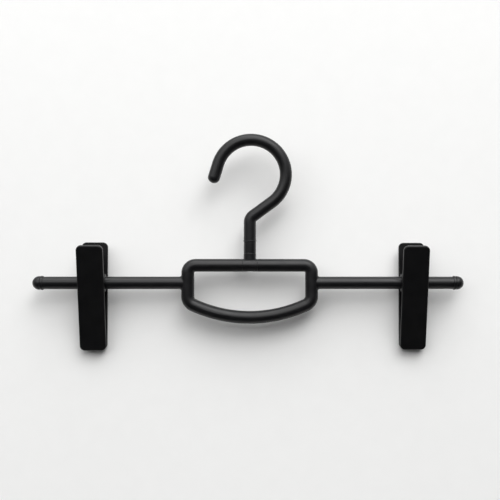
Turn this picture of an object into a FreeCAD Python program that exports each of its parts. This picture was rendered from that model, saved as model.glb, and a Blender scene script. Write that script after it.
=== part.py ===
import FreeCAD, Part
import math
import os
from collections import namedtuple

import Sketcher

# Skirt hanger: a swivel hook, a closed centre frame with a bar on each side, and a sliding spring clip on each bar.
# X runs along the bars, Z points up and the front of the hanger faces -Y.
# The origin is the inside top of the hook, where a closet rod sits, on the axis of the hook's stem.
# A depth is a distance below that origin. Lengths are in millimetres and angles in degrees.

DIMENSIONS = {
    "hook_rod_dia": 10.15,
    "hook_inner_radius": 23.85,
    "hook_bend_offset": 1.1,
    "hook_slope_angle": 53.7,
    "hook_neck_bend": 6.4,
    "hook_end_angle": 17.0,
    "hook_end_length": 16.4,
    "hook_tip_flat": 0.25,
    "pin_dia": 4.0,
    "pin_seat_length": 12.0,
    "pin_end_gap": 0.3,
    "pin_head_dia": 6.3,
    "pin_head_height": 1.8,
    "pin_head_inset": 0.5,
    "pin_head_gap": 0.3,
    "pin_clearance": 0.05,
    "washer_dia": 10.8,
    "washer_thickness": 0.7,
    "washer_edge_radius": 0.3,
    "swivel_play": 0.2,
    "collar_dia": 10.1,
    "collar_length": 9.6,
    "neck_dia": 10.3,
    "neck_edge_radius": 0.5,
    "neck_spigot_dia": 7.0,
    "neck_spigot_length": 4.0,
    "spigot_end_gap": 0.2,
    "frame_rod_dia": 10.6,
    "frame_swell": 1.1,
    "frame_half_width": 51.4,
    "frame_top_depth": 99.8,
    "neck_height": 10.1,
    "frame_top_bend": 6.3,
    "frame_height": 43.15,
    "frame_bottom_radius": 112.0,
    "frame_lower_bend": 8.0,
    "saddle_half_length": 6.3,
    "saddle_rise": 0.7,
    "saddle_inset": 0.1,
    "saddle_edge_radius": 0.5,
    "stub_length": 2.4,
    "stub_fillet": 1.6,
    "bar_spigot_length": 15.0,
    "bar_dia": 10.4,
    "bar_wall": 1.5,
    "bar_drop": 14.55,
    "half_span": 179.0,
    "cap_plug_length": 10.0,
    "cap_lip_dia": 11.6,
    "cap_lip_length": 1.9,
    "cap_groove_dia": 9.2,
    "cap_groove_width": 0.7,
    "cap_dome_dia": 11.2,
    "cap_dome_length": 6.3,
    "cap_edge_radius": 0.3,
    "left_clip_reach": 129.7,
    "right_clip_reach": 136.7,
    "slide_clearance": 0.06,
    "sleeve_wall": 0.64,
    "pivot_clearance": 0.06,
    "flange_width": 0.8,
    "flange_rise": 1.2,
    "plate_width": 21.6,
    "plate_thickness": 3.5,
    "plate_handle_reach": 33.8,
    "plate_jaw_reach": 55.2,
    "plate_corner_radius": 4.0,
    "plate_edge_radius": 1.0,
    "jaw_angle": 14.5,
    "lug_width": 2.7,
    "lug_gap": 0.3,
    "pad_width": 17.0,
    "pad_length": 16.0,
    "pad_margin": 2.2,
    "pad_recess": 1.2,
    "pad_rest_gap": 0.2,
    "rib_count": 9,
    "rib_depth": 0.35,
    "wire_dia": 1.1,
    "coil_turns": 3,
    "coil_pitch": 1.6,
    "coil_gap": 0.35,
    "spring_leg_length": 22.0,
}

SHEET = "Sizes"
TOLERANCE = 1e-4
TURN = 2 * math.pi
QUARTERS = 4
GAP_SAMPLES = 24

# A bend in an outline: its radius and centre as formulas, and whether it runs counter-clockwise.
Bend = namedtuple("Bend", "radius centre_x centre_y ccw")


def size(alias):
    """The formula that reads one driving dimension."""
    return f"{SHEET}.{alias}"


# Formulas that several pieces share.
HOOK_AXIS_RADIUS = f"({size('hook_inner_radius')} + {size('hook_rod_dia')} / 2)"
FRAME_RADIUS = f"({size('frame_rod_dia')} / 2)"
NECK_TOP = f"({size('frame_top_depth')} - {size('neck_height')})"
FRAME_BOTTOM = f"({size('frame_top_depth')} + {size('frame_height')})"
BAR_DEPTH = f"({size('frame_top_depth')} + {size('bar_drop')})"
COLLAR_TOP = f"({NECK_TOP} - {size('collar_length')})"
STEM_DEPTH = f"({COLLAR_TOP} - {size('swivel_play')} - {size('washer_thickness')})"
PIN_BORE_DIA = f"({size('pin_dia')} + 2 * {size('pin_clearance')})"
HEAD_FACE = f"({size('frame_top_depth')} + {FRAME_RADIUS} - {size('pin_head_inset')})"
HEAD_SEAT = f"({HEAD_FACE} - {size('pin_head_height')})"
STUB_END = f"({size('frame_half_width')} + {FRAME_RADIUS} + {size('stub_length')})"
BAR_BORE_DIA = f"({size('bar_dia')} - 2 * {size('bar_wall')})"
CAP_LENGTH = f"({size('cap_lip_length')} + {size('cap_groove_width')} + {size('cap_dome_length')})"
BAR_END = f"({size('half_span')} - {CAP_LENGTH})"
SLEEVE_INNER = f"({size('bar_dia')} / 2 + {size('slide_clearance')})"
SLEEVE_OUTER = f"({SLEEVE_INNER} + {size('sleeve_wall')})"
LUG_BORE_DIA = f"(2 * ({SLEEVE_OUTER} + {size('pivot_clearance')}))"
COIL_RADIUS = f"({SLEEVE_OUTER} + {size('coil_gap')} + {size('wire_dia')} / 2)"
JAW_FACE = f"({COIL_RADIUS} + {size('wire_dia')} / 2 + {size('coil_gap')})"
LUG_RADIUS = f"({JAW_FACE} - {size('lug_gap')})"
COIL_SWEEP = f"({size('coil_turns')} + 0.5 - {size('jaw_angle')} / 360)"
COIL_HALF = f"({COIL_SWEEP} * {size('coil_pitch')} / 2)"
FRONT_LUG_START = f"({COIL_HALF} + {size('wire_dia')} / 2 + {size('lug_gap')})"
REAR_LUG_START = f"({FRONT_LUG_START} + {size('lug_width')} + {size('lug_gap')})"
FLANGE_START = f"({REAR_LUG_START} + {size('lug_width')} + {size('lug_gap')})"
FLANGE_END = f"({FLANGE_START} + {size('flange_width')})"
PAD_LOW = f"({size('plate_jaw_reach')} - {size('pad_margin')})"
PAD_HIGH = f"({PAD_LOW} - {size('pad_length')})"

doc = FreeCAD.newDocument("SkirtHanger")
sheet = doc.addObject("Spreadsheet::Sheet", SHEET)
for row, (alias, number) in enumerate(DIMENSIONS.items(), start=1):
    sheet.set(f"A{row}", alias)
    sheet.set(f"B{row}", str(number))
    sheet.setAlias(f"B{row}", alias)
doc.recompute()


def value(formula):
    """The number that a formula gives with the sheet's present dimensions."""
    return float(sheet.evalExpression(formula))


def new_body(label):
    """A new sub-part, whose label names its file."""
    body = doc.addObject("PartDesign::Body", label)
    body.Label = label
    return body


def origin_plane(body, role):
    """One of the three planes through a body's own origin."""
    return next(item for item in body.Origin.OriginFeatures if item.Role == role)


def sketch_on(body, name, role, offset="0"):
    """A sketch on one of the body's own planes, moved along that plane's normal."""
    sketch = body.newObject("Sketcher::SketchObject", name)
    sketch.AttachmentSupport = [(origin_plane(body, role), "")]
    sketch.MapMode = "FlatFace"
    sketch.setExpression("AttachmentOffset.Base.z", offset)
    return sketch


def hold(sketch, constraint, formula):
    """Add a constraint and bind its value to a formula."""
    index = sketch.addConstraint(constraint)
    sketch.setExpression(f"Constraints[{index}]", formula)


def hold_point(sketch, side, end, corner):
    """Bind one end of a side to a corner's two formulas."""
    for kind, formula in zip(("DistanceX", "DistanceY"), corner):
        hold(sketch, Sketcher.Constraint(kind, -1, 1, side, end, value(formula)), formula)


def bend_geometry(start, finish, bend):
    """The arc of a bend, from its two end points."""
    centre = FreeCAD.Vector(value(bend.centre_x), value(bend.centre_y), 0)
    circle = Part.Circle(centre, FreeCAD.Vector(0, 0, 1), value(bend.radius))
    first, last = (start, finish) if bend.ccw else (finish, start)
    first_angle = math.atan2(first.y - centre.y, first.x - centre.x)
    last_angle = math.atan2(last.y - centre.y, last.x - centre.x)
    if last_angle < first_angle:
        last_angle += TURN
    return Part.ArcOfCircle(circle, first_angle, last_angle)


def draw(sketch, corners, bends=None, closed=True):
    """Draw an outline whose corners are pairs of formulas. A side with a bend is an arc, the others are straight."""
    bends = bends or {}
    points = [FreeCAD.Vector(value(x), value(y), 0) for x, y in corners]
    sides = len(corners) if closed else len(corners) - 1
    ends = []
    for side in range(sides):
        start = points[side]
        finish = points[(side + 1) % len(points)]
        bend = bends.get(side)
        if bend:
            sketch.addGeometry(bend_geometry(start, finish, bend))
        else:
            sketch.addGeometry(Part.LineSegment(start, finish))
        ends.append((2, 1) if bend and not bend.ccw else (1, 2))
    for side in range(sides if closed else sides - 1):
        following = (side + 1) % sides
        sketch.addConstraint(Sketcher.Constraint("Coincident", side, ends[side][1], following, ends[following][0]))
    for side in range(sides):
        hold_point(sketch, side, ends[side][0], corners[side])
    if not closed:
        hold_point(sketch, sides - 1, ends[-1][1], corners[-1])
    for side, bend in bends.items():
        hold(sketch, Sketcher.Constraint("Radius", side, value(bend.radius)), bend.radius)


def draw_circle(sketch, centre, diameter):
    """Draw a circle with its centre and diameter bound to formulas."""
    middle = FreeCAD.Vector(value(centre[0]), value(centre[1]), 0)
    side = sketch.addGeometry(Part.Circle(middle, FreeCAD.Vector(0, 0, 1), value(diameter) / 2))
    hold_point(sketch, side, 3, centre)
    hold(sketch, Sketcher.Constraint("Diameter", side, value(diameter)), diameter)


def pad(body, name, sketch, length, reverse=False):
    """Raise a sketch into the body."""
    feature = body.newObject("PartDesign::Pad", name)
    feature.Profile = sketch
    feature.setExpression("Length", length)
    feature.Reversed = reverse
    return feature


def pocket(body, name, sketch, length, along_normal):
    """Cut a sketch out of the body, and make sure that it took something away."""
    doc.recompute()
    before = body.Shape.Volume
    feature = body.newObject("PartDesign::Pocket", name)
    feature.Profile = sketch
    feature.setExpression("Length", length)
    feature.Reversed = along_normal
    doc.recompute()
    if body.Shape.Volume > before - TOLERANCE:
        raise ValueError(f"{name} cuts nothing")
    return feature


def revolve(body, name, sketch, axis):
    """Turn a sketch into a full round about one of its own axes."""
    feature = body.newObject("PartDesign::Revolution", name)
    feature.Profile = sketch
    feature.ReferenceAxis = (sketch, [axis])
    feature.Angle = 360
    return feature


def pipe(body, name, section, path):
    """Carry a section along a path."""
    feature = body.newObject("PartDesign::AdditivePipe", name)
    feature.Profile = section
    feature.Spine = path
    return feature


def mirror(body, name, originals):
    """Repeat features on the other side of the body's YZ plane."""
    feature = body.newObject("PartDesign::Mirrored", name)
    feature.Originals = originals
    feature.MirrorPlane = (origin_plane(body, "YZ_Plane"), [""])
    body.Tip = feature
    return feature


def edges_where(body, test):
    """The names of the body's edges whose ends and middle all pass a test, in the body's own frame."""
    doc.recompute()
    names = []
    for number, edge in enumerate(body.Tip.Shape.Edges, start=1):
        first, last = edge.ParameterRange
        points = [edge.valueAt(spot) for spot in (first, (first + last) / 2, last)]
        if all(test(point) for point in points):
            names.append(f"Edge{number}")
    return names


def soften(body, name, radius, test):
    """Round the edges that pass a test."""
    names = edges_where(body, test)
    base = body.Tip
    feature = body.newObject("PartDesign::Fillet", name)
    feature.Base = (base, names)
    feature.setExpression("Radius", radius)
    return feature


def near(number, target):
    """Whether two lengths agree."""
    return abs(number - target) < TOLERANCE


def place(item, x_formula, z_formula, turn=None):
    """Put a sub-part where its formulas say, turned about X by a formula in degrees."""
    angle = value(turn) if turn else 0
    item.Placement = FreeCAD.Placement(
        FreeCAD.Vector(value(x_formula), 0, value(z_formula)),
        FreeCAD.Rotation(FreeCAD.Vector(1, 0, 0), angle),
    )
    item.setExpression("Placement.Base.x", x_formula)
    item.setExpression("Placement.Base.z", z_formula)
    if turn:
        item.setExpression("Placement.Rotation.Angle", f"({turn}) * 1 deg")


def make_hook():
    """A bent rod: stem, neck bend, slope, round hook and a straight end with a dome, bored for the swivel pin."""
    body = new_body("hook")
    slope = f"{size('hook_slope_angle')} * 1 deg"
    lean = f"{size('hook_end_angle')} * 1 deg"
    offset = size("hook_bend_offset")
    inner = size("hook_inner_radius")
    slope_x = f"({offset} + {HOOK_AXIS_RADIUS} * cos({slope}))"
    slope_z = f"(-{inner} - {HOOK_AXIS_RADIUS} * sin({slope}))"
    corner_z = f"({slope_z} - {slope_x} / tan({slope}))"
    tangent = f"({size('hook_neck_bend')} * tan({slope} / 2))"
    end_x = f"({offset} - {HOOK_AXIS_RADIUS} * cos({lean}))"
    end_z = f"(-{inner} + {HOOK_AXIS_RADIUS} * sin({lean}))"
    tip_x = f"({end_x} - {size('hook_end_length')} * sin({lean}))"
    tip_z = f"({end_z} - {size('hook_end_length')} * cos({lean}))"
    corners = [
        ("0", f"-{STEM_DEPTH}"),
        ("0", f"{corner_z} - {tangent}"),
        (f"{tangent} * sin({slope})", f"{corner_z} + {tangent} * cos({slope})"),
        (slope_x, slope_z),
        (end_x, end_z),
        (tip_x, tip_z),
    ]
    bends = {
        1: Bend(size("hook_neck_bend"), size("hook_neck_bend"), f"{corner_z} - {tangent}", False),
        3: Bend(HOOK_AXIS_RADIUS, offset, f"-{inner}", True),
    }
    path = sketch_on(body, "HookPath", "XZ_Plane")
    draw(path, corners, bends, closed=False)
    section = sketch_on(body, "HookSection", "XY_Plane", f"-{STEM_DEPTH}")
    draw_circle(section, ("0", "0"), size("hook_rod_dia"))
    pipe(body, "HookRod", section, path)
    tip = FreeCAD.Vector(value(tip_x), 0, value(tip_z))
    rod_radius = value(size("hook_rod_dia")) / 2
    soften(
        body, "HookDome", f"{size('hook_rod_dia')} / 2 - {size('hook_tip_flat')}",
        lambda point: near(point.distanceToPoint(tip), rod_radius),
    )
    bore = sketch_on(body, "PinSeat", "XY_Plane", f"-{STEM_DEPTH}")
    draw_circle(bore, ("0", "0"), size("pin_dia"))
    pocket(body, "PinBore", bore, f"{size('pin_seat_length')} + {size('pin_end_gap')}", along_normal=True)
    return body


def make_swivel_pin():
    """A headed steel pin from the recess under the top bar up into the hook's stem."""
    body = new_body("swivel_pin")
    radius = f"{size('pin_dia')} / 2"
    head = f"{size('pin_head_dia')} / 2"
    top = f"-({STEM_DEPTH} - {size('pin_seat_length')})"
    profile = sketch_on(body, "PinProfile", "XZ_Plane")
    draw(profile, [
        ("0", f"-{HEAD_FACE}"),
        (head, f"-{HEAD_FACE}"),
        (head, f"-{HEAD_SEAT}"),
        (radius, f"-{HEAD_SEAT}"),
        (radius, top),
        ("0", top),
    ])
    revolve(body, "PinRound", profile, "V_Axis")
    return body


def make_thrust_washer():
    """A flat ring under the foot of the stem."""
    body = new_body("thrust_washer")
    profile = sketch_on(body, "WasherProfile", "XY_Plane", f"-{STEM_DEPTH}")
    draw_circle(profile, ("0", "0"), size("washer_dia"))
    draw_circle(profile, ("0", "0"), PIN_BORE_DIA)
    pad(body, "WasherRing", profile, size("washer_thickness"), reverse=True)
    rim = value(size("washer_dia")) / 2
    soften(body, "WasherRim", size("washer_edge_radius"), lambda point: near(math.hypot(point.x, point.y), rim))
    return body


def make_neck_collar():
    """A collar pressed on the neck's spigot, bored for the swivel pin."""
    body = new_body("neck_collar")
    outer = f"{size('collar_dia')} / 2"
    socket = f"{size('neck_spigot_dia')} / 2"
    bore = f"{PIN_BORE_DIA} / 2"
    shoulder = f"-({NECK_TOP} - {size('neck_spigot_length')} - {size('spigot_end_gap')})"
    profile = sketch_on(body, "CollarProfile", "XZ_Plane")
    draw(profile, [
        (socket, f"-{NECK_TOP}"),
        (outer, f"-{NECK_TOP}"),
        (outer, f"-{COLLAR_TOP}"),
        (bore, f"-{COLLAR_TOP}"),
        (bore, shoulder),
        (socket, shoulder),
    ])
    revolve(body, "CollarRound", profile, "V_Axis")
    return body


def draw_oval(sketch, middle_z, radius, swell):
    """Draw an oval of two half rounds, set apart along the sketch's first axis by twice the swell."""
    low = f"({middle_z} - {radius})"
    high = f"({middle_z} + {radius})"
    corners = [
        (f"-{swell}", low),
        (swell, low),
        (f"{swell} + {radius}", middle_z),
        (swell, high),
        (f"-{swell}", high),
        (f"-{swell} - {radius}", middle_z),
    ]
    front = Bend(radius, f"-{swell}", middle_z, True)
    rear = Bend(radius, swell, middle_z, True)
    draw(sketch, corners, {1: rear, 2: rear, 4: front, 5: front})


def draw_frame_path(body):
    """The closed centre line of the frame: flat top, upright sides and a bottom that sags in a long arc."""
    width = size("frame_half_width")
    top = f"-{size('frame_top_depth')}"
    bend = size("frame_top_bend")
    lower = size("frame_lower_bend")
    long_radius = size("frame_bottom_radius")
    long_z = f"({long_radius} - {FRAME_BOTTOM})"
    lower_x = f"({width} - {lower})"
    lower_z = f"({long_z} - sqrt(({long_radius} - {lower}) ^ 2 - {lower_x} ^ 2))"
    share = f"({long_radius} / ({long_radius} - {lower}))"
    meet_x = f"({lower_x} * {share})"
    meet_z = f"({long_z} + ({lower_z} - {long_z}) * {share})"
    top_x = f"({width} - {bend})"
    side_z = f"({top} - {bend})"
    corners = [
        ("0", top),
        (top_x, top),
        (width, side_z),
        (width, lower_z),
        (meet_x, meet_z),
        (f"-{meet_x}", meet_z),
        (f"-{width}", lower_z),
        (f"-{width}", side_z),
        (f"-{top_x}", top),
    ]
    bends = {
        1: Bend(bend, top_x, side_z, False),
        3: Bend(lower, lower_x, lower_z, False),
        4: Bend(long_radius, "0", long_z, False),
        5: Bend(lower, f"-{lower_x}", lower_z, False),
        7: Bend(bend, f"-{top_x}", side_z, False),
    }
    path = sketch_on(body, "FramePath", "XZ_Plane")
    draw(path, corners, bends)
    return path


def make_frame():
    """A closed loop of oval rod with a saddle and a neck on its top bar and a stub and spigot on each side."""
    body = new_body("frame")
    top = f"(-{size('frame_top_depth')})"
    half_length = size("saddle_half_length")
    saddle = sketch_on(body, "SaddleSection", "YZ_Plane", f"-{half_length}")
    inset = size("saddle_inset")
    saddle_swell = f"({size('frame_swell')} + {size('saddle_rise')} + {inset})"
    draw_oval(saddle, top, f"({FRAME_RADIUS} - {inset})", saddle_swell)
    pad(body, "Saddle", saddle, f"2 * {half_length}")
    saddle_end = value(half_length)
    soften(body, "SaddleEnds", size("saddle_edge_radius"), lambda point: near(abs(point.x), saddle_end))
    path = draw_frame_path(body)
    section = sketch_on(body, "FrameSection", "YZ_Plane")
    draw_oval(section, top, FRAME_RADIUS, size("frame_swell"))
    pipe(body, "FrameLoop", section, path)
    neck = sketch_on(body, "NeckSection", "XY_Plane", top)
    draw_circle(neck, ("0", "0"), size("neck_dia"))
    pad(body, "Neck", neck, size("neck_height"))
    neck_top = -value(NECK_TOP)
    soften(body, "NeckTopEdge", size("neck_edge_radius"), lambda point: near(point.z, neck_top))
    axis = ("0", f"-{BAR_DEPTH}")
    stub = sketch_on(body, "StubSection", "YZ_Plane", size("frame_half_width"))
    draw_circle(stub, axis, size("bar_dia"))
    right_stub = pad(body, "RightStub", stub, f"{STUB_END} - {size('frame_half_width')}")
    mirror(body, "LeftStub", [right_stub])
    bar_radius = value(size("bar_dia")) / 2
    bar_z = -value(BAR_DEPTH)
    stub_end = value(STUB_END)
    soften(
        body, "StubFoot", size("stub_fillet"),
        lambda point: near(math.hypot(point.y, point.z - bar_z), bar_radius)
        and abs(point.x) < stub_end - TOLERANCE,
    )
    spigot = sketch_on(body, "SpigotSection", "YZ_Plane", STUB_END)
    draw_circle(spigot, axis, BAR_BORE_DIA)
    right_spigot = pad(body, "RightSpigot", spigot, size("bar_spigot_length"))
    mirror(body, "LeftSpigot", [right_spigot])
    neck_spigot = sketch_on(body, "NeckSpigotSection", "XY_Plane", f"-{NECK_TOP}")
    draw_circle(neck_spigot, ("0", "0"), size("neck_spigot_dia"))
    pad(body, "NeckSpigot", neck_spigot, size("neck_spigot_length"))
    under = f"-({size('frame_top_depth')} + {FRAME_RADIUS})"
    bore = sketch_on(body, "SwivelBoreSection", "XY_Plane", under)
    draw_circle(bore, ("0", "0"), PIN_BORE_DIA)
    through = f"{FRAME_RADIUS} + {size('neck_height')} + {size('neck_spigot_length')}"
    pocket(body, "SwivelBore", bore, through, along_normal=True)
    recess = sketch_on(body, "HeadRecessSection", "XY_Plane", under)
    draw_circle(recess, ("0", "0"), f"{size('pin_head_dia')} + 2 * {size('pin_head_gap')}")
    pocket(body, "HeadRecess", recess, f"{size('pin_head_inset')} + {size('pin_head_height')}", along_normal=True)
    return body


def make_bar(label, direction):
    """A tube from the frame's stub to the end cap. Direction is 1 for the right side and -1 for the left."""
    body = new_body(label)
    section = sketch_on(body, "BarSection", "YZ_Plane", f"{direction} * {STUB_END}")
    axis = ("0", f"-{BAR_DEPTH}")
    draw_circle(section, axis, size("bar_dia"))
    draw_circle(section, axis, BAR_BORE_DIA)
    pad(body, "BarTube", section, f"{BAR_END} - {STUB_END}", reverse=direction < 0)
    return body


def make_end_cap(label, direction):
    """A domed cap with a lip and a groove, plugged into the bar's open end."""
    body = new_body(label)
    plug = f"{BAR_BORE_DIA} / 2"
    lip = f"{size('cap_lip_dia')} / 2"
    groove = f"{size('cap_groove_dia')} / 2"
    dome = f"{size('cap_dome_dia')} / 2"
    groove_x = size("cap_lip_length")
    dome_x = f"({size('cap_lip_length')} + {size('cap_groove_width')})"
    crown_x = f"({CAP_LENGTH} - {dome})"
    along = [
        (f"-{size('cap_plug_length')}", "0"),
        (f"-{size('cap_plug_length')}", plug),
        ("0", plug),
        ("0", lip),
        (groove_x, lip),
        (groove_x, groove),
        (dome_x, groove),
        (dome_x, dome),
        (crown_x, dome),
        (CAP_LENGTH, "0"),
    ]
    corners = [(f"{direction} * ({x})", radius) for x, radius in along]
    bends = {8: Bend(dome, f"{direction} * {crown_x}", "0", direction < 0)}
    profile = sketch_on(body, "CapProfile", "XZ_Plane")
    draw(profile, corners, bends)
    revolve(body, "CapRound", profile, "H_Axis")
    lip_radius = value(lip)
    soften(
        body, "CapLipEdge", size("cap_edge_radius"),
        lambda point: near(math.hypot(point.y, point.z), lip_radius),
    )
    place(body, f"{direction} * {BAR_END}", f"-{BAR_DEPTH}")
    return body


def make_sleeve(label, clip_x):
    """A thin bush with a rolled flange at each end, which slides on the bar and carries both jaws."""
    body = new_body(label)
    flange = f"{SLEEVE_OUTER} + {size('flange_rise')}"
    profile = sketch_on(body, "SleeveProfile", "XZ_Plane")
    draw(profile, [
        (f"-{FLANGE_END}", SLEEVE_INNER),
        (FLANGE_END, SLEEVE_INNER),
        (FLANGE_END, flange),
        (FLANGE_START, flange),
        (FLANGE_START, SLEEVE_OUTER),
        (f"-{FLANGE_START}", SLEEVE_OUTER),
        (f"-{FLANGE_START}", flange),
        (f"-{FLANGE_END}", flange),
    ])
    revolve(body, "SleeveRound", profile, "H_Axis")
    place(body, clip_x, f"-{BAR_DEPTH}")
    return body


def draw_plate(sketch):
    """A tall plate with round corners, from the jaw end below the bar to the handle end above it."""
    half = f"({size('plate_width')} / 2)"
    radius = size("plate_corner_radius")
    high = size("plate_handle_reach")
    low = f"-{size('plate_jaw_reach')}"
    inset = f"({half} - {radius})"
    corners = [
        (f"-{inset}", low),
        (inset, low),
        (half, f"{low} + {radius}"),
        (half, f"{high} - {radius}"),
        (inset, high),
        (f"-{inset}", high),
        (f"-{half}", f"{high} - {radius}"),
        (f"-{half}", f"{low} + {radius}"),
    ]
    bends = {
        1: Bend(radius, inset, f"{low} + {radius}", True),
        3: Bend(radius, inset, f"{high} - {radius}", True),
        5: Bend(radius, f"-{inset}", f"{high} - {radius}", True),
        7: Bend(radius, f"-{inset}", f"{low} + {radius}", True),
    }
    draw(sketch, corners, bends)


def make_jaw(label, clip_x, side, lug_start, turn=None):
    """A flat plate with two bored lugs that ride on the sleeve. Side is 1 for the rear plate and -1 for the front."""
    body = new_body(label)
    face = f"{-side} * {JAW_FACE}"
    plate = sketch_on(body, "PlateOutline", "XZ_Plane", face)
    draw_plate(plate)
    pad(body, "Plate", plate, size("plate_thickness"), reverse=side > 0)
    outer = side * value(f"{JAW_FACE} + {size('plate_thickness')}")
    inner = side * value(JAW_FACE)
    soften(body, "PlateOuterEdge", size("plate_edge_radius"), lambda point: near(point.y, outer))
    soften(body, "PlateInnerEdge", f"{size('plate_edge_radius')} / 2", lambda point: near(point.y, inner))
    root = f"{side} * ({JAW_FACE} + {size('plate_thickness')} / 2)"
    lug = sketch_on(body, "LugOutline", "YZ_Plane", lug_start)
    round_end = Bend(LUG_RADIUS, "0", "0", side > 0)
    draw(
        lug,
        [
            (root, f"-{LUG_RADIUS}"),
            (root, LUG_RADIUS),
            ("0", LUG_RADIUS),
            (f"{-side} * {LUG_RADIUS}", "0"),
            ("0", f"-{LUG_RADIUS}"),
        ],
        {2: round_end, 3: round_end},
    )
    right_lug = pad(body, "RightLug", lug, size("lug_width"))
    mirror(body, "LeftLug", [right_lug])
    bore = sketch_on(body, "LugBoreSection", "YZ_Plane", f"-{size('plate_width')} / 2")
    draw_circle(bore, ("0", "0"), LUG_BORE_DIA)
    pocket(body, "LugBore", bore, size("plate_width"), along_normal=True)
    half = f"{size('pad_width')} / 2"
    recess = sketch_on(body, "PadRecessOutline", "XZ_Plane", face)
    draw(recess, [
        (f"-{half}", f"-{PAD_LOW}"),
        (half, f"-{PAD_LOW}"),
        (half, f"-{PAD_HIGH}"),
        (f"-{half}", f"-{PAD_HIGH}"),
    ])
    pocket(body, "PadRecess", recess, size("pad_recess"), along_normal=side < 0)
    place(body, clip_x, f"-{BAR_DEPTH}", turn)
    return body


def make_pad(label, clip_x, side, turn=None):
    """A ribbed rubber wedge in the jaw's recess. Its ribs end just short of the plane midway between the jaws."""
    body = new_body(label)
    floor = f"{side} * ({JAW_FACE} + {size('pad_recess')})"
    middle = f"tan({size('jaw_angle')} / 2 * 1 deg)"
    clear = f"{size('pad_rest_gap')} / 2"
    ribs = int(value(size("rib_count")))
    corners = [(floor, f"-{PAD_HIGH}"), (floor, f"-{PAD_LOW}")]
    steps = 2 * ribs
    for step in range(steps + 1):
        depth = f"({PAD_LOW} - {size('pad_length')} * {step} / {steps})"
        dip = "0" if step % 2 else size("rib_depth")
        corners.append((f"{side} * ({depth} * {middle} + {clear} + {dip})", f"-{depth}"))
    outline = sketch_on(body, "PadOutline", "YZ_Plane", f"-{size('pad_width')} / 2")
    draw(outline, corners)
    pad(body, "PadWedge", outline, size("pad_width"))
    place(body, clip_x, f"-{BAR_DEPTH}", turn)
    return body


def arc_from(start, tangent, finish):
    """The arc that leaves a point along a unit tangent and ends at another point."""
    chord = finish - start
    along = FreeCAD.Vector(chord).normalize()
    bow = tangent - along * tangent.dot(along)
    rise = chord.Length / 2 * math.tan(tangent.getAngle(chord) / 2)
    return Part.Arc(start, (start + finish) * 0.5 + bow.normalize() * rise, finish)


def biarc(start, start_tangent, finish, finish_tangent):
    """Two arcs that join two points along given unit tangents."""
    span = finish - start
    both = start_tangent + finish_tangent
    spread = 2 * (1 - start_tangent.dot(finish_tangent))
    reach = (math.sqrt(span.dot(both) ** 2 + spread * span.dot(span)) - span.dot(both)) / spread
    joint = (start + finish + (start_tangent - finish_tangent) * reach) * 0.5
    middle_tangent = (finish - start - both * reach).normalize()
    return [arc_from(start, start_tangent, joint), arc_from(joint, middle_tangent, finish)]


def spring_path():
    """The spring's centre line: a leg down the rear handle, the coil round the sleeve and a leg up the front handle."""
    radius = value(COIL_RADIUS)
    rise = value(size("coil_pitch")) / TURN
    sweep = value(COIL_SWEEP) * TURN
    start_x = -value(COIL_HALF)

    def point(angle):
        return FreeCAD.Vector(start_x + rise * angle, radius * math.cos(angle), -radius * math.sin(angle))

    def tangent(angle):
        return FreeCAD.Vector(rise, -radius * math.sin(angle), -radius * math.cos(angle)).normalize()

    steps = math.ceil(value(COIL_SWEEP) * QUARTERS)
    angles = [sweep * step / steps for step in range(steps + 1)]
    leg = value(size("spring_leg_length"))
    rear_end = point(0) - tangent(0) * leg
    front_end = point(sweep) + tangent(sweep) * leg
    curves = [Part.LineSegment(rear_end, point(0))]
    for first, last in zip(angles, angles[1:]):
        curves.extend(biarc(point(first), tangent(first), point(last), tangent(last)))
    curves.append(Part.LineSegment(point(sweep), front_end))
    return curves, tangent(0)


def least_gap(curves, wire_dia):
    """The smallest clear gap between parts of the wire that are more than half a turn apart, measured on points."""
    spots = []
    for curve in curves:
        spots.extend(curve.toShape().discretize(GAP_SAMPLES))
    lengths = [0.0]
    for before, after in zip(spots, spots[1:]):
        lengths.append(lengths[-1] + before.distanceToPoint(after))
    half_turn = math.pi * value(COIL_RADIUS)
    return min(
        one.distanceToPoint(two) - wire_dia
        for index, one in enumerate(spots)
        for other, two in enumerate(spots[:index])
        if lengths[index] - lengths[other] > half_turn
    )


def make_spring(label, clip_x):
    """A torsion spring, wound as one tube."""
    curves, direction = spring_path()
    wire_dia = value(size("wire_dia"))
    path = Part.Wire([curve.toShape() for curve in curves])
    ring = Part.Circle(path.Vertexes[0].Point, direction, wire_dia / 2)
    spring = doc.addObject("Part::Feature", label)
    spring.Label = label
    spring.Shape = path.makePipeShell([Part.Wire([ring.toShape()])], True, False)
    place(spring, clip_x, f"-{BAR_DEPTH}")
    print(f"{label}: least gap to itself {least_gap(curves, wire_dia):.2f} mm")
    return spring


def make_clip(prefix, clip_x):
    """One clip: sleeve, two jaws, two pads and a spring, centred at a place along the bar."""
    lean = size("jaw_angle")
    return [
        make_sleeve(f"{prefix}_clip_sleeve", clip_x),
        make_jaw(f"{prefix}_clip_rear_jaw", clip_x, 1, REAR_LUG_START),
        make_jaw(f"{prefix}_clip_front_jaw", clip_x, -1, FRONT_LUG_START, lean),
        make_pad(f"{prefix}_clip_rear_pad", clip_x, 1),
        make_pad(f"{prefix}_clip_front_pad", clip_x, -1, lean),
        make_spring(f"{prefix}_clip_spring", clip_x),
    ]


def check_model(parts):
    """Stop if any object failed to build or any sub-part is not one valid solid."""
    for item in doc.Objects:
        if "Invalid" in item.State or "Error" in item.State:
            raise ValueError(f"{item.Label} did not build: {item.State}")
    for part in parts:
        shape = part.Shape
        if shape.isNull() or not shape.isValid() or len(shape.Solids) != 1:
            raise ValueError(f"{part.Label} is not one valid solid")


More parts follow.
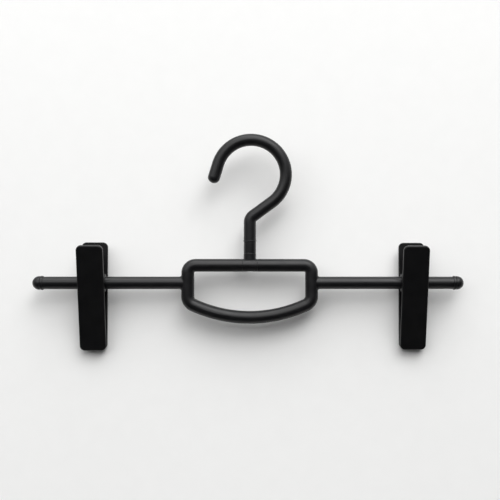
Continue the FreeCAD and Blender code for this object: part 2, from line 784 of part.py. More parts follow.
def main():
    """Build every sub-part, check it and write its file."""
    parts = [
        make_hook(),
        make_swivel_pin(),
        make_thrust_washer(),
        make_neck_collar(),
        make_frame(),
        make_bar("left_bar", -1),
        make_bar("right_bar", 1),
        make_end_cap("left_end_cap", -1),
        make_end_cap("right_end_cap", 1),
    ]
    parts += make_clip("left", f"-{size('left_clip_reach')}")
    parts += make_clip("right", size("right_clip_reach"))
    doc.recompute()
    check_model(parts)
    os.makedirs("parts", exist_ok=True)
    for part in parts:
        part.Shape.exportStep(f"parts/{part.Label}.step")
        print(f"{part.Label}: {part.Shape.Volume:.1f} mm3")


main()
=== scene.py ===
import logging
import math
from dataclasses import dataclass
from enum import Enum, IntEnum
from typing import Any

import bmesh
import bpy
from mathutils import Matrix, Vector


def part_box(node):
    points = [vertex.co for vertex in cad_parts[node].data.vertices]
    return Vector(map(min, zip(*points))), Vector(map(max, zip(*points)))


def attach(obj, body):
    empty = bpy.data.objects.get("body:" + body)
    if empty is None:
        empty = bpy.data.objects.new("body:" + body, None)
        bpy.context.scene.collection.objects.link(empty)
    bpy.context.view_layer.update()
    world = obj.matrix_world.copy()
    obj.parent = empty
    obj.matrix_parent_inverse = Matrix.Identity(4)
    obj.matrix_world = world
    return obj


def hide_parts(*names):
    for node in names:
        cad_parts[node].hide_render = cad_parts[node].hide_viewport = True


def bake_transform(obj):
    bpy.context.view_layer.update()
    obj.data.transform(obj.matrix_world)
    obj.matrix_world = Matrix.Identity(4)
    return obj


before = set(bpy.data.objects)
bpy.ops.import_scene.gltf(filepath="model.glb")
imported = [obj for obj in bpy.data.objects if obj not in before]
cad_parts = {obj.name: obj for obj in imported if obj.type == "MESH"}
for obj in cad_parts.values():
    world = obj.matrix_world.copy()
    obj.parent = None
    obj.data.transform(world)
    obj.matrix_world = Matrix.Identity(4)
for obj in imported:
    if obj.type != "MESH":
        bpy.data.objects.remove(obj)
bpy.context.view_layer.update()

MM = 0.001
# Points this close are one point, lie on one face, or stand clear of it.
MERGED = 0.0001 * MM
TOUCHING = 0.01 * MM
CLEAR = 0.1 * MM
# Most values of a noise texture lie between these two.
NOISE_LOW = 0.3
NOISE_HIGH = 0.7
log = logging.getLogger("skirt_hanger")


class Side(Enum):
    """Which end of the hanger a piece belongs to."""

    LEFT = "left"
    RIGHT = "right"


class Jaw(Enum):
    """Which plate of a clip a piece belongs to."""

    FRONT = "front"
    REAR = "rear"


class Slot(Enum):
    """The record's material slots for the spring wire and the grip rubber."""

    SPRING = "spring_steel"
    GRIP = "grip_rubber"


class MixSocket(IntEnum):
    """A Mix node's sockets for colours, by number, because their names repeat for every kind of data."""

    FACTOR = 0
    RESULT = 2
    FIRST = 6
    SECOND = 7


def linear(code: str) -> tuple[float, float, float, float]:
    """Turn an sRGB hex value into linear light, by the curve of the sRGB standard.

    Args:
        code: Six hex digits, red, green and blue, with no sign before them.

    Returns:
        Red, green and blue in linear light, and an alpha of 1.
    """
    channels = [int(code[start:start + 2], 16) / 255 for start in (0, 2, 4)]
    red, green, blue = (c / 12.92 if c <= 0.04045 else ((c + 0.055) / 1.055) ** 2.4 for c in channels)
    return red, green, blue, 1.0


def per_metre(size_mm: float) -> float:
    """The texture scale that gives a pattern of this size, in millimetres, on Object coordinates."""
    return 1 / (size_mm * MM)


def add_node(
    tree: bpy.types.NodeTree,
    kind: str,
    settings: dict[str, Any] | None = None,
    inputs: dict[str | int, Any] | None = None,
) -> bpy.types.Node:
    """Add one node, set it up and link what goes into it.

    Args:
        tree: The node tree that the node joins.
        kind: Blender's name for the node.
        settings: The node's own properties by name.
        inputs: Its inputs by name or number. An output socket is linked, anything else is set as the value.

    Returns:
        The new node.
    """
    node = tree.nodes.new(kind)
    for name, value in (settings or {}).items():
        setattr(node, name, value)
    for name, value in (inputs or {}).items():
        if isinstance(value, bpy.types.NodeSocket):
            tree.links.new(value, node.inputs[name])
        else:
            node.inputs[name].default_value = value
    return node


def blank_material(name: str) -> bpy.types.Material:
    """Make a material with an empty node tree.

    Args:
        name: The material's name.

    Returns:
        The new material.
    """
    material = bpy.data.materials.new(name)
    material.use_nodes = True
    material.node_tree.nodes.clear()
    return material


@dataclass(frozen=True)
class MouldedPlastic:
    """Black ABS or nylon out of a spark-eroded mould: even, with a soft sheen, a fine grain and paler edges, which
    are partly wear and partly a painted highlight.
    """

    name: str
    colour: str = "0e0e0f"
    bloom: str = "141416"
    # The edge colour is partly wear and partly a painted highlight along the rims.
    worn_edge_and_highlight: str = "2a2a2c"
    roughness: float = 0.36
    unevenness: float = 0.05
    ior: float = 1.39
    bloom_mm: float = 9.0
    # Real mould grain is about 0.1 mm, too fine to show, so it is drawn several times as coarse.
    grain_mm: float = 0.7
    grain_depth_mm: float = 0.012
    grain_strength: float = 0.5
    edge_wear_and_highlight_mm: float = 0.6
    # An edge's rounded and true normals differ. Their dot product where the paler edge (partly wear, partly painted
    # highlight) starts, and where it is full:
    edge_wear_and_highlight_start: float = 0.995
    edge_wear_and_highlight_full: float = 0.90

    def material(self) -> bpy.types.Material:
        """Build the material.

        Returns:
            A material whose colour, sheen and grain follow the object's own coordinates.
        """
        material = blank_material(self.name)
        tree = material.node_tree
        place = add_node(tree, "ShaderNodeTexCoord").outputs["Object"]
        bloom = add_node(tree, "ShaderNodeTexNoise", None, {
            "Vector": place, "Scale": per_metre(self.bloom_mm), "Detail": 3.0, "Roughness": 0.55,
        }).outputs["Fac"]
        grain = add_node(tree, "ShaderNodeTexNoise", None, {
            "Vector": place, "Scale": per_metre(self.grain_mm), "Detail": 2.0, "Roughness": 0.6,
        }).outputs["Fac"]
        soft = add_node(tree, "ShaderNodeBevel", {"samples": 4}, {"Radius": self.edge_wear_and_highlight_mm * MM}).outputs["Normal"]
        sharp = add_node(tree, "ShaderNodeNewGeometry").outputs["Normal"]
        flat = add_node(tree, "ShaderNodeVectorMath", {"operation": "DOT_PRODUCT"}, {
            0: soft, 1: sharp,
        }).outputs["Value"]
        edge = add_node(tree, "ShaderNodeMapRange", None, {
            "Value": flat, "From Min": self.edge_wear_and_highlight_start, "From Max": self.edge_wear_and_highlight_full,
        }).outputs["Result"]
        # Paler edges: partly wear, partly a painted highlight that stands in for light caught on the rims.
        rubbed_and_highlit = add_node(tree, "ShaderNodeMath", {"operation": "MULTIPLY"}, {0: edge, 1: bloom}).outputs["Value"]
        base = add_node(tree, "ShaderNodeMix", {"data_type": "RGBA"}, {
            MixSocket.FACTOR: bloom, MixSocket.FIRST: linear(self.colour), MixSocket.SECOND: linear(self.bloom),
        }).outputs[MixSocket.RESULT]
        colour = add_node(tree, "ShaderNodeMix", {"data_type": "RGBA"}, {
            MixSocket.FACTOR: rubbed_and_highlit, MixSocket.FIRST: base, MixSocket.SECOND: linear(self.worn_edge_and_highlight),
        }).outputs[MixSocket.RESULT]
        sheen = add_node(tree, "ShaderNodeMapRange", None, {
            "Value": bloom, "From Min": NOISE_LOW, "From Max": NOISE_HIGH,
            "To Min": self.roughness - self.unevenness, "To Max": self.roughness + self.unevenness,
        }).outputs["Result"]
        relief = add_node(tree, "ShaderNodeBump", None, {
            "Height": grain, "Strength": self.grain_strength, "Distance": self.grain_depth_mm * MM,
        }).outputs["Normal"]
        shader = add_node(tree, "ShaderNodeBsdfPrincipled", None, {
            "Base Color": colour, "Roughness": sheen, "IOR": self.ior, "Normal": relief,
        })
        add_node(tree, "ShaderNodeOutputMaterial", None, {"Surface": shader.outputs["BSDF"]})
        return material


@dataclass(frozen=True)
class GripRubber:
    """Black moulded rubber: dull, slightly grey where dust and talc stay on it, with a coarse soft grain."""

    name: str = "moulded black rubber"
    colour: str = "121212"
    dust: str = "2b2b2a"
    roughness: float = 0.78
    smoother: float = 0.06
    duller: float = 0.1
    ior: float = 1.5
    dust_mm: float = 2.4
    dust_start: float = 0.45
    dust_full: float = 0.75
    # The grain of moulded rubber is about 0.1 mm too, and is drawn coarser so that it shows.
    grain_mm: float = 0.5
    grain_depth_mm: float = 0.02
    grain_strength: float = 0.6

    def material(self) -> bpy.types.Material:
        """Build the material.

        Returns:
            A dull rubber with patches of dust.
        """
        material = blank_material(self.name)
        tree = material.node_tree
        place = add_node(tree, "ShaderNodeTexCoord").outputs["Object"]
        dust = add_node(tree, "ShaderNodeTexNoise", None, {
            "Vector": place, "Scale": per_metre(self.dust_mm), "Detail": 5.0, "Roughness": 0.7,
        }).outputs["Fac"]
        patch = add_node(tree, "ShaderNodeMapRange", None, {
            "Value": dust, "From Min": self.dust_start, "From Max": self.dust_full,
        }).outputs["Result"]
        grain = add_node(tree, "ShaderNodeTexNoise", None, {
            "Vector": place, "Scale": per_metre(self.grain_mm), "Detail": 2.0,
        }).outputs["Fac"]
        colour = add_node(tree, "ShaderNodeMix", {"data_type": "RGBA"}, {
            MixSocket.FACTOR: patch, MixSocket.FIRST: linear(self.colour), MixSocket.SECOND: linear(self.dust),
        }).outputs[MixSocket.RESULT]
        dull = add_node(tree, "ShaderNodeMapRange", None, {
            "Value": dust, "From Min": NOISE_LOW, "From Max": NOISE_HIGH,
            "To Min": self.roughness - self.smoother, "To Max": self.roughness + self.duller,
        }).outputs["Result"]
        relief = add_node(tree, "ShaderNodeBump", None, {
            "Height": grain, "Strength": self.grain_strength, "Distance": self.grain_depth_mm * MM,
        }).outputs["Normal"]
        shader = add_node(tree, "ShaderNodeBsdfPrincipled", None, {
            "Base Color": colour, "Roughness": dull, "IOR": self.ior, "Normal": relief,
        })
        add_node(tree, "ShaderNodeOutputMaterial", None, {"Surface": shader.outputs["BSDF"]})
        return material


@dataclass(frozen=True)
class PlatedSteel:
    """Zinc-plated steel: bright, faintly blue, with drawing or turning marks and duller patches in the plating."""

    name: str
    colour: str = "b9bbbe"
    dull: str = "8d8f92"
    roughness: float = 0.28
    smoother: float = 0.06
    duller: float = 0.12
    patch_mm: float = 1.8
    # Turning marks are about 0.05 mm apart on the real piece, and are drawn coarser so that they show.
    mark_mm: float = 0.25
    mark_depth_mm: float = 0.004
    mark_strength: float = 0.5
    # The marks run round X, so the pattern is stretched across it.
    mark_stretch: float = 0.15

    def material(self) -> bpy.types.Material:
        """Build the material.

        Returns:
            A metal with fine marks around the X axis.
        """
        material = blank_material(self.name)
        tree = material.node_tree
        place = add_node(tree, "ShaderNodeTexCoord").outputs["Object"]
        patch = add_node(tree, "ShaderNodeTexNoise", None, {
            "Vector": place, "Scale": per_metre(self.patch_mm), "Detail": 4.0, "Roughness": 0.65,
        }).outputs["Fac"]
        drawn = add_node(tree, "ShaderNodeMapping", None, {
            "Vector": place, "Scale": (1.0, self.mark_stretch, self.mark_stretch),
        }).outputs["Vector"]
        marks = add_node(tree, "ShaderNodeTexNoise", None, {
            "Vector": drawn, "Scale": per_metre(self.mark_mm), "Detail": 3.0, "Roughness": 0.7,
        }).outputs["Fac"]
        colour = add_node(tree, "ShaderNodeMix", {"data_type": "RGBA"}, {
            MixSocket.FACTOR: patch, MixSocket.FIRST: linear(self.colour), MixSocket.SECOND: linear(self.dull),
        }).outputs[MixSocket.RESULT]
        gloss = add_node(tree, "ShaderNodeMapRange", None, {
            "Value": patch, "From Min": NOISE_LOW, "From Max": NOISE_HIGH,
            "To Min": self.roughness - self.smoother, "To Max": self.roughness + self.duller,
        }).outputs["Result"]
        relief = add_node(tree, "ShaderNodeBump", None, {
            "Height": marks, "Strength": self.mark_strength, "Distance": self.mark_depth_mm * MM,
        }).outputs["Normal"]
        shader = add_node(tree, "ShaderNodeBsdfPrincipled", None, {
            "Base Color": colour, "Metallic": 1.0, "Roughness": gloss, "Normal": relief,
        })
        add_node(tree, "ShaderNodeOutputMaterial", None, {"Surface": shader.outputs["BSDF"]})
        return material


@dataclass(frozen=True)
class StudioPaper:
    """Matt white paper, graded to pale grey on the floor, and clear from behind so that the hanger's back shows."""

    name: str = "matt white paper"
    colour: str = "f4f4f3"
    tooth: str = "f1f1f0"
    tooth_mm: float = 14.0
    shade: str = "d2d2d1"
    # The heights where the grey starts and where it is full, in metres.
    shade_top: float = -0.36
    shade_foot: float = -0.45

    def material(self) -> bpy.types.Material:
        """Build the material.

        Returns:
            A matt white, graded to pale grey on the floor, which lets through camera rays from behind and the
            light of lamps behind it.
        """
        material = blank_material(self.name)
        tree = material.node_tree
        place = add_node(tree, "ShaderNodeTexCoord").outputs["Object"]
        tooth = add_node(tree, "ShaderNodeTexNoise", None, {
            "Vector": place, "Scale": per_metre(self.tooth_mm), "Detail": 2.0,
        }).outputs["Fac"]
        colour = add_node(tree, "ShaderNodeMix", {"data_type": "RGBA"}, {
            MixSocket.FACTOR: tooth, MixSocket.FIRST: linear(self.colour), MixSocket.SECOND: linear(self.tooth),
        }).outputs[MixSocket.RESULT]
        height = add_node(tree, "ShaderNodeSeparateXYZ", None, {"Vector": place}).outputs["Z"]
        low = add_node(tree, "ShaderNodeMapRange", None, {
            "Value": height, "From Min": self.shade_top, "From Max": self.shade_foot,
        }).outputs["Result"]
        graded = add_node(tree, "ShaderNodeMix", {"data_type": "RGBA"}, {
            MixSocket.FACTOR: low, MixSocket.FIRST: colour, MixSocket.SECOND: linear(self.shade),
        }).outputs[MixSocket.RESULT]
        matt = add_node(tree, "ShaderNodeBsdfDiffuse", None, {"Color": graded}).outputs["BSDF"]
        clear = add_node(tree, "ShaderNodeBsdfTransparent").outputs["BSDF"]
        ray = add_node(tree, "ShaderNodeLightPath").outputs
        behind = add_node(tree, "ShaderNodeNewGeometry").outputs["Backfacing"]
        seen = add_node(tree, "ShaderNodeMath", {"operation": "MULTIPLY"}, {
            0: ray["Is Camera Ray"], 1: behind,
        }).outputs["Value"]
        either = add_node(tree, "ShaderNodeMath", {"operation": "MAXIMUM"}, {
            0: seen, 1: ray["Is Shadow Ray"],
        }).outputs["Value"]
        shader = add_node(tree, "ShaderNodeMixShader", None, {0: either, 1: matt, 2: clear}).outputs["Shader"]
        add_node(tree, "ShaderNodeOutputMaterial", None, {"Surface": shader})
        return material


@dataclass(frozen=True)
class FlockCard:
    """Black flock card: dead dull, and partly clear to light that scatters off the floor right under it."""

    name: str = "black flock card"
    colour: str = "060606"
    nap: str = "0a0a0a"
    roughness: float = 0.95
    ior: float = 1.5
    nap_mm: float = 40.0
    # How far the floor's scattered light still counts as right under the card, in metres, and the share let through.
    floor_reach: float = 0.12
    clearness: float = 0.38

    def material(self) -> bpy.types.Material:
        """Build the material.

        Returns:
            A dull black that leaves the floor pale.
        """
        material = blank_material(self.name)
        tree = material.node_tree
        place = add_node(tree, "ShaderNodeTexCoord").outputs["Object"]
        nap = add_node(tree, "ShaderNodeTexNoise", None, {
            "Vector": place, "Scale": per_metre(self.nap_mm), "Detail": 5.0, "Roughness": 0.7,
        }).outputs["Fac"]
        colour = add_node(tree, "ShaderNodeMix", {"data_type": "RGBA"}, {
            MixSocket.FACTOR: nap, MixSocket.FIRST: linear(self.colour), MixSocket.SECOND: linear(self.nap),
        }).outputs[MixSocket.RESULT]
        black = add_node(tree, "ShaderNodeBsdfPrincipled", None, {
            "Base Color": colour, "Roughness": self.roughness, "IOR": self.ior,
        }).outputs["BSDF"]
        clear = add_node(tree, "ShaderNodeBsdfTransparent").outputs["BSDF"]
        ray = add_node(tree, "ShaderNodeLightPath").outputs
        near = add_node(tree, "ShaderNodeMath", {"operation": "LESS_THAN"}, {
            0: ray["Ray Length"], 1: self.floor_reach,
        }).outputs["Value"]
        spared = add_node(tree, "ShaderNodeMath", {"operation": "MULTIPLY"}, {
            0: ray["Is Diffuse Ray"], 1: near,
        }).outputs["Value"]
        share = add_node(tree, "ShaderNodeMath", {"operation": "MULTIPLY"}, {
            0: spared, 1: self.clearness,
        }).outputs["Value"]
        shader = add_node(tree, "ShaderNodeMixShader", None, {0: share, 1: black, 2: clear}).outputs["Shader"]
        add_node(tree, "ShaderNodeOutputMaterial", None, {"Surface": shader})
        return material


def verts_in(geometry: list[Any]) -> list[bmesh.types.BMVert]:
    """The vertices among what an operator made."""
    return [item for item in geometry if isinstance(item, bmesh.types.BMVert)]


def edges_in(geometry: list[Any]) -> list[bmesh.types.BMEdge]:
    """The edges among what an operator made."""
    return [item for item in geometry if isinstance(item, bmesh.types.BMEdge)]


def new_object(name: str, mesh: bmesh.types.BMesh, material: bpy.types.Material) -> bpy.types.Object:
    """Turn a finished bmesh into an object at the origin.

    Args:
        name: The object's name.
        mesh: The bmesh, which is freed.
        material: The one material of the object.

    Returns:
        The new object, linked to the scene.
    """
    data = bpy.data.meshes.new(name)
    mesh.to_mesh(data)
    mesh.free()
    data.materials.append(material)
    piece = bpy.data.objects.new(name, data)
    bpy.context.scene.collection.objects.link(piece)
    log.info("%s: %d faces", name, len(data.polygons))
    return piece


def dress(node: str, material: bpy.types.Material) -> None:
    """Give a carried-over CAD node its material.

    Args:
        node: The node's name.
        material: The material for all of it.
    """
    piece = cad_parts[node]
    piece.data.materials.clear()
    piece.data.materials.append(material)
    log.info("%s: %s", node, material.name)


@dataclass
class SwivelHook:
    """The hook, the pin that it turns on and the ring under its stem."""

    plastic: bpy.types.Material
    steel: bpy.types.Material
    nylon: bpy.types.Material

    def dress(self) -> None:
        """Give each piece its finish."""
        dress("hook", self.plastic)
        dress("swivel_pin", self.steel)
        dress("thrust_washer", self.nylon)


@dataclass
class CentreFrame:
    """The closed frame with its collar, and the bar and end cap on each side."""

    plastic: bpy.types.Material

    def dress(self) -> None:
        """Give each piece its finish."""
        dress("frame", self.plastic)
        dress("neck_collar", self.plastic)
        for side in Side:
            dress(f"{side.value}_bar", self.plastic)
            dress(f"{side.value}_end_cap", self.plastic)


@dataclass
class SpringClip:
    """One clip: a sleeve on the bar, two plates, two ribbed pads and a torsion spring."""

    side: Side
    plate: bpy.types.Material
    nylon: bpy.types.Material
    rubber: bpy.types.Material
    wire: bpy.types.Material
    jaw_angle: float = math.radians(14.5)
    coil_clear: float = 1.6 * MM
    coil_turns: float = 3.5
    coil_pitch: float = 1.6 * MM
    wire_radius: float = 0.55 * MM
    wire_end_round: float = 0.1925 * MM
    leg: float = 22.0 * MM
    ring_points: int = 14
    steps_per_turn: int = 44
    pad_half_width: float = 8.5 * MM
    pad_clear_of_bar: float = 3.7 * MM
    pad_low: float = 53.0 * MM
    pad_length: float = 16.0 * MM
    pad_clear: float = 0.1 * MM
    pad_edge: float = 0.14 * MM
    ribs: int = 9
    rib_depth: float = 0.35 * MM
    # The share of each rib's slope that is rounded at its crest and at its foot.
    rib_round: float = 0.38

    def name(self, piece: str) -> str:
        """The name of one of this clip's pieces or bodies."""
        return f"{self.side.value}_clip_{piece}"

    def centre(self) -> Vector:
        """The middle of the clip on the bar's axis."""
        low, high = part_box(self.name("sleeve"))
        return (low + high) / 2

    def bar_radius(self) -> float:
        """Half the thickness of the bar that the clip slides on."""
        low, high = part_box(f"{self.side.value}_bar")
        return (high.z - low.z) / 2

    def build_spring(self) -> bpy.types.Object:
        """Wind the torsion spring: a straight leg, the coil round the sleeve and a second leg.

        Returns:
            The spring, which stands for its CAD node.
        """
        radius = self.bar_radius() + self.coil_clear
        sweep = self.coil_turns * math.tau - self.jaw_angle
        turns = sweep / math.tau
        steps = round(self.steps_per_turn * turns)
        travel = self.coil_pitch * turns
        along = Vector((self.coil_pitch / math.tau, 0.0, -radius)).normalized()
        start = Vector((-travel / 2, radius, 0.0))
        place = Matrix.Translation(start - along * self.leg) @ along.to_track_quat("Z", "Y").to_matrix().to_4x4()
        mesh = bmesh.new()
        bmesh.ops.create_circle(mesh, segments=self.ring_points, radius=self.wire_radius, matrix=place)
        leg = bmesh.ops.extrude_edge_only(mesh, edges=list(mesh.edges))["geom"]
        bmesh.ops.translate(mesh, verts=verts_in(leg), vec=along * self.leg)
        coil = bmesh.ops.spin(
            mesh, geom=edges_in(leg), cent=(0.0, 0.0, 0.0), axis=(-1.0, 0.0, 0.0),
            dvec=(travel / steps, 0.0, 0.0), angle=sweep, steps=steps,
        )["geom_last"]
        tail = bmesh.ops.extrude_edge_only(mesh, edges=edges_in(coil))["geom"]
        turned = Matrix.Rotation(-sweep, 3, "X") @ along
        bmesh.ops.translate(mesh, verts=verts_in(tail), vec=turned * self.leg)
        bmesh.ops.remove_doubles(mesh, verts=mesh.verts, dist=MERGED)
        bmesh.ops.holes_fill(mesh, edges=[e for e in mesh.edges if e.is_boundary], sides=0)
        ends = [e for f in mesh.faces if len(f.verts) == self.ring_points for e in f.edges]
        bmesh.ops.bevel(
            mesh, geom=ends, offset=self.wire_end_round, affect="EDGES", segments=2, profile=0.5, material=-1,
        )
        bmesh.ops.recalc_face_normals(mesh, faces=mesh.faces)
        middle = self.centre()
        bmesh.ops.translate(mesh, verts=mesh.verts, vec=middle)
        for face in mesh.faces:
            face.smooth = True
        piece = new_object(self.name("torsion_spring"), mesh, self.wire)
        self.name("rear")
        self.name("front")
        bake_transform(piece)
        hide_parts(self.name("spring"))
        return piece

    def build_pad(self, jaw: Jaw) -> bpy.types.Object:
        """Mould one ribbed pad: a block cut to a wedge, with rounded ribs across its gripping face.

        Args:
            jaw: The plate whose recess the pad fills.

        Returns:
            The pad, which stands for its CAD node.
        """
        slope = math.tan(self.jaw_angle / 2)
        floor = self.bar_radius() + self.pad_clear_of_bar
        mesh = bmesh.new()
        # The block is 1 m deep at first, from 0 to 1 along Y, so that its two faces are easy to tell apart.
        bmesh.ops.create_cube(mesh, size=1.0)
        bmesh.ops.scale(mesh, verts=mesh.verts, vec=(2 * self.pad_half_width, 1.0, self.pad_length))
        bmesh.ops.translate(mesh, verts=mesh.verts, vec=(0.0, 0.5, self.pad_length / 2 - self.pad_low))
        upright = [e for e in mesh.edges if abs(e.verts[0].co.z - e.verts[1].co.z) > self.pad_length / 2]
        bmesh.ops.subdivide_edges(mesh, edges=upright, cuts=2 * self.ribs - 1, use_grid_fill=True)
        step = self.pad_length / (2 * self.ribs)
        for vert in mesh.verts:
            depth = -vert.co.z
            valley = round((self.pad_low - depth) / step) % 2 == 0
            grip = depth * slope + self.pad_clear + (self.rib_depth if valley else 0.0)
            vert.co.y = floor if vert.co.y > 0.5 else grip
        crests = [
            e for e in mesh.edges
            if all(v.co.y < floor - CLEAR for v in e.verts) and abs(e.verts[0].co.x - e.verts[1].co.x) > MM
        ]
        bmesh.ops.bevel(
            mesh, geom=crests, offset=step * self.rib_round, affect="EDGES", segments=3, profile=0.5, material=-1,
            clamp_overlap=True,
        )
        rims = [
            e for e in mesh.edges
            if all(abs(abs(v.co.x) - self.pad_half_width) < TOUCHING for v in e.verts)
            and all(v.co.y < floor - CLEAR for v in e.verts)
        ]
        bmesh.ops.bevel(
            mesh, geom=rims, offset=self.pad_edge, affect="EDGES", segments=2, profile=0.5, material=-1,
            clamp_overlap=True,
        )
        if jaw is Jaw.FRONT:
            tilt = Matrix.Rotation(self.jaw_angle, 3, "X")
            bmesh.ops.scale(mesh, verts=mesh.verts, vec=(1.0, -1.0, 1.0))
            bmesh.ops.rotate(mesh, verts=mesh.verts, cent=(0.0, 0.0, 0.0), matrix=tilt)
        bmesh.ops.recalc_face_normals(mesh, faces=mesh.faces)
        bmesh.ops.translate(mesh, verts=mesh.verts, vec=self.centre())
        piece = new_object(self.name(f"{jaw.value}_grip"), mesh, self.rubber)
        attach(piece, self.name(jaw.value))
        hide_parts(self.name(f"{jaw.value}_pad"))
        return piece

    def build(self) -> None:
        """Make the new pieces of the clip."""
        self.build_spring()
        for jaw in Jaw:
            self.build_pad(jaw)

    def dress(self) -> None:
        """Give the carried-over pieces their finish."""
        dress(self.name("sleeve"), self.nylon)
        for jaw in Jaw:
            dress(self.name(f"{jaw.value}_jaw"), self.plate)


@dataclass(frozen=True)
class Softbox:
    """A large soft lamp that faces the hanger, with its height and side in degrees and its power in watts."""

    name: str
    elevation: float
    azimuth: float
    power: float
    width: float = 2.4
    height: float = 1.6
    distance: float = 3.5
    target: tuple[float, float, float] = (0.0, 0.0, -0.09)

    def build(self) -> bpy.types.Object:
        """Make the lamp.

        Returns:
            The lamp's object, which the camera doesn't see.
        """
        lamp = bpy.data.lights.new(self.name, "AREA")
        lamp.shape = "RECTANGLE"
        lamp.size = self.width
        lamp.size_y = self.height
        lamp.energy = self.power
        rise = math.radians(self.elevation)
        turn = math.radians(self.azimuth)
        way = Vector((math.sin(turn) * math.cos(rise), -math.cos(turn) * math.cos(rise), math.sin(rise)))
        piece = bpy.data.objects.new(self.name, lamp)
        piece.location = Vector(self.target) + way * self.distance
        piece.rotation_mode = "QUATERNION"
        piece.rotation_quaternion = (-way).to_track_quat("-Z", "Y")
        piece.visible_camera = False
        bpy.context.scene.collection.objects.link(piece)
        log.info("%s: %.0f W", self.name, self.power)
        return piece


# One broad soft light in seven patches, from low on the left to high above, and a lamp for the hanger's back.
LAMPS = (
    Softbox("low_left_softbox", 8.0, -40.0, 14.8),
    Softbox("front_softbox", 26.0, 0.0, 21.8),
    Softbox("left_softbox", 30.0, -40.0, 14.0),
    Softbox("key_softbox", 44.0, 20.0, 41.8),
    Softbox("high_left_softbox", 55.0, -40.0, 14.0),
    Softbox("high_right_softbox", 55.0, 40.0, 25.4),
    Softbox("top_softbox", 74.0, -15.0, 39.4),
    Softbox("back_softbox", 30.0, 155.0, 40.0),
)


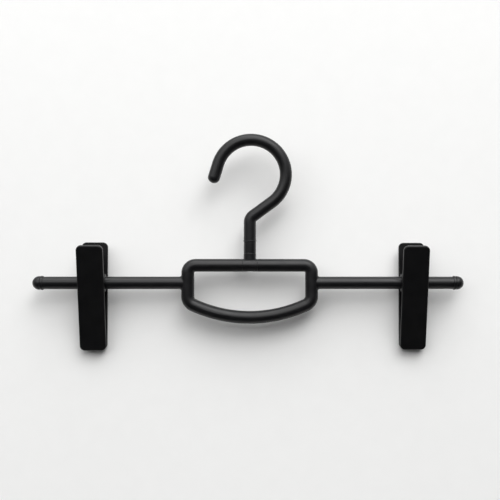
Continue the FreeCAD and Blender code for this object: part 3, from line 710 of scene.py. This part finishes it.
@dataclass
class Studio:
    """A sheet of paper that hangs behind the hanger and sweeps out into a floor, soft lamps and a camera."""

    paper: bpy.types.Material
    card: bpy.types.Material
    foot_y: float = 11.6 * MM
    foot_z: float = -169.8 * MM
    wall_height: float = 2.0
    lean: float = math.radians(5.0)
    floor_z: float = -0.46
    sweep_radius: float = 0.08
    sweep_steps: int = 16
    floor_front: float = -2.6
    half_width: float = 2.6
    card_radius: float = 2.55
    card_lift: float = 0.005
    card_top: float = 0.36
    card_steps: int = 32
    # The room's strength as seen straight or in a reflection, and as a source of light.
    room_seen: float = 0.85
    room_fill: float = 0.48
    sensor: float = 36.0
    lens: float = 63.68
    shift: float = -0.07
    eye: tuple[float, float, float] = (0.0037, -0.73640, -0.10977)
    pitch: float = 0.0309
    yaw: float = -0.0347

    def build_sweep(self) -> bpy.types.Object:
        """Hang the paper: out along the floor, round, and up behind the clips, leaning back a little.

        Returns:
            The paper.
        """
        mesh = bmesh.new()
        up = Vector((0.0, math.sin(self.lean), math.cos(self.lean)))
        back = Vector((0.0, math.cos(self.lean), -math.sin(self.lean)))
        tangent_z = self.floor_z + self.sweep_radius - self.sweep_radius * math.sin(self.lean)
        tangent_y = self.foot_y + (tangent_z - self.foot_z) * math.tan(self.lean)
        centre = Vector((0.0, tangent_y, tangent_z)) - back * self.sweep_radius
        start = bmesh.ops.create_vert(mesh, co=(-self.half_width, self.floor_front, self.floor_z))["vert"]
        foot = bmesh.ops.extrude_vert_indiv(mesh, verts=start)["verts"]
        bmesh.ops.translate(mesh, verts=foot, vec=(0.0, centre.y - self.floor_front, 0.0))
        curve = bmesh.ops.spin(
            mesh, geom=foot, cent=centre, axis=(1.0, 0.0, 0.0), angle=math.pi / 2 - self.lean, steps=self.sweep_steps,
        )["geom_last"]
        top = bmesh.ops.extrude_vert_indiv(mesh, verts=verts_in(curve))["verts"]
        bmesh.ops.translate(mesh, verts=top, vec=up * self.wall_height)
        far = bmesh.ops.extrude_edge_only(mesh, edges=list(mesh.edges))["geom"]
        bmesh.ops.translate(mesh, verts=verts_in(far), vec=(2 * self.half_width, 0.0, 0.0))
        bmesh.ops.recalc_face_normals(mesh, faces=mesh.faces)
        # The sheet's face looks forwards: if the wall looks to the rear, the whole sheet is turned round.
        if any(face.normal.y > 0.5 for face in mesh.faces):
            bmesh.ops.reverse_faces(mesh, faces=mesh.faces)
        for face in mesh.faces:
            face.smooth = True
        sweep = new_object("paper_sweep", mesh, self.paper)
        return sweep

    def build_card(self) -> bpy.types.Object:
        """Bend a black card round the front, low down, which only reflections and scattered light meet.

        Returns:
            The card.
        """
        mesh = bmesh.new()
        low = self.floor_z + self.card_lift
        inner = bmesh.ops.create_vert(mesh, co=(-self.sweep_radius, 0.0, low))["vert"]
        rim = bmesh.ops.extrude_vert_indiv(mesh, verts=inner)["verts"]
        bmesh.ops.translate(mesh, verts=rim, vec=(self.sweep_radius - self.card_radius, 0.0, 0.0))
        top = bmesh.ops.extrude_vert_indiv(mesh, verts=rim)["verts"]
        bmesh.ops.translate(mesh, verts=top, vec=(0.0, 0.0, self.card_top - low))
        bmesh.ops.spin(
            mesh, geom=list(mesh.edges), cent=(0.0, 0.0, 0.0), axis=(0.0, 0.0, 1.0),
            angle=math.pi, steps=self.card_steps,
        )
        card = new_object("black_card", mesh, self.card)
        card.visible_camera = False
        card.visible_shadow = False
        card.visible_transmission = False
        return card

    def build_world(self) -> None:
        """Make the room pale to look at, and dim as a source of light."""
        world = bpy.data.worlds.new("studio room")
        world.use_nodes = True
        tree = world.node_tree
        tree.nodes.clear()
        ray = add_node(tree, "ShaderNodeLightPath").outputs
        straight = add_node(tree, "ShaderNodeMath", {"operation": "MAXIMUM"}, {
            0: ray["Is Camera Ray"], 1: ray["Is Glossy Ray"],
        }).outputs["Value"]
        seen = add_node(tree, "ShaderNodeMath", {"operation": "MAXIMUM"}, {
            0: straight, 1: ray["Is Transmission Ray"],
        }).outputs["Value"]
        level = add_node(tree, "ShaderNodeMapRange", None, {
            "Value": seen, "To Min": self.room_fill, "To Max": self.room_seen,
        }).outputs["Result"]
        sky = add_node(tree, "ShaderNodeBackground", None, {"Color": linear("ffffff"), "Strength": level})
        add_node(tree, "ShaderNodeOutputWorld", None, {"Surface": sky.outputs["Background"]})
        bpy.context.scene.world = world

    def build_camera(self) -> bpy.types.Object:
        """Stand the camera where the photograph was taken from.

        Returns:
            The camera, set as the scene's own.
        """
        data = bpy.data.cameras.new("photo_camera")
        data.sensor_width = self.sensor
        data.lens = self.lens
        data.shift_x = self.shift
        camera = bpy.data.objects.new("photo_camera", data)
        camera.location = self.eye
        camera.rotation_euler = (math.pi / 2 + self.pitch, 0.0, self.yaw)
        bpy.context.scene.collection.objects.link(camera)
        bpy.context.scene.camera = camera
        return camera

    def build(self) -> None:
        """Set up the paper, the card, the room, the lamps and the camera."""
        self.build_sweep()
        self.build_card()
        self.build_world()
        for lamp in LAMPS:
            lamp.build()
        self.build_camera()
        bpy.context.scene.view_settings.view_transform = "Standard"


def main() -> None:
    """Build and dress the hanger, then the studio round it."""
    logging.basicConfig(level=logging.INFO, format="%(name)s %(message)s")
    # The rods keep a soft line of light along them, and the plates are duller, with a blacker colour that is partly
    # painted shade and paler edges that are partly a painted highlight.
    rod = MouldedPlastic("satin black moulded ABS").material()
    plate = MouldedPlastic(
        "matte black moulded ABS", colour="0a0a0b", bloom="0d0d0e", worn_edge_and_highlight="565658", roughness=0.42, ior=1.3,
    ).material()
    # Nylon is waxy: a little paler than the rods, and less shiny.
    nylon = MouldedPlastic("black moulded nylon", colour="111112", roughness=0.46, grain_mm=0.4).material()
    # The pin is black and turned, and the springs are bright and drawn.
    steel = PlatedSteel("black zinc-plated turned steel", colour="3a3a3c", dull="242426").material()
    wire = PlatedSteel("zinc-plated drawn spring wire", roughness=0.24, patch_mm=0.9).material()
    rubber = GripRubber().material()
    SwivelHook(rod, steel, nylon).dress()
    CentreFrame(rod).dress()
    for side in Side:
        clip = SpringClip(side, plate, nylon, rubber, wire)
        clip.build()
        clip.dress()
    Studio(StudioPaper().material(), FlockCard().material()).build()


if __name__ == "__main__":
    main()
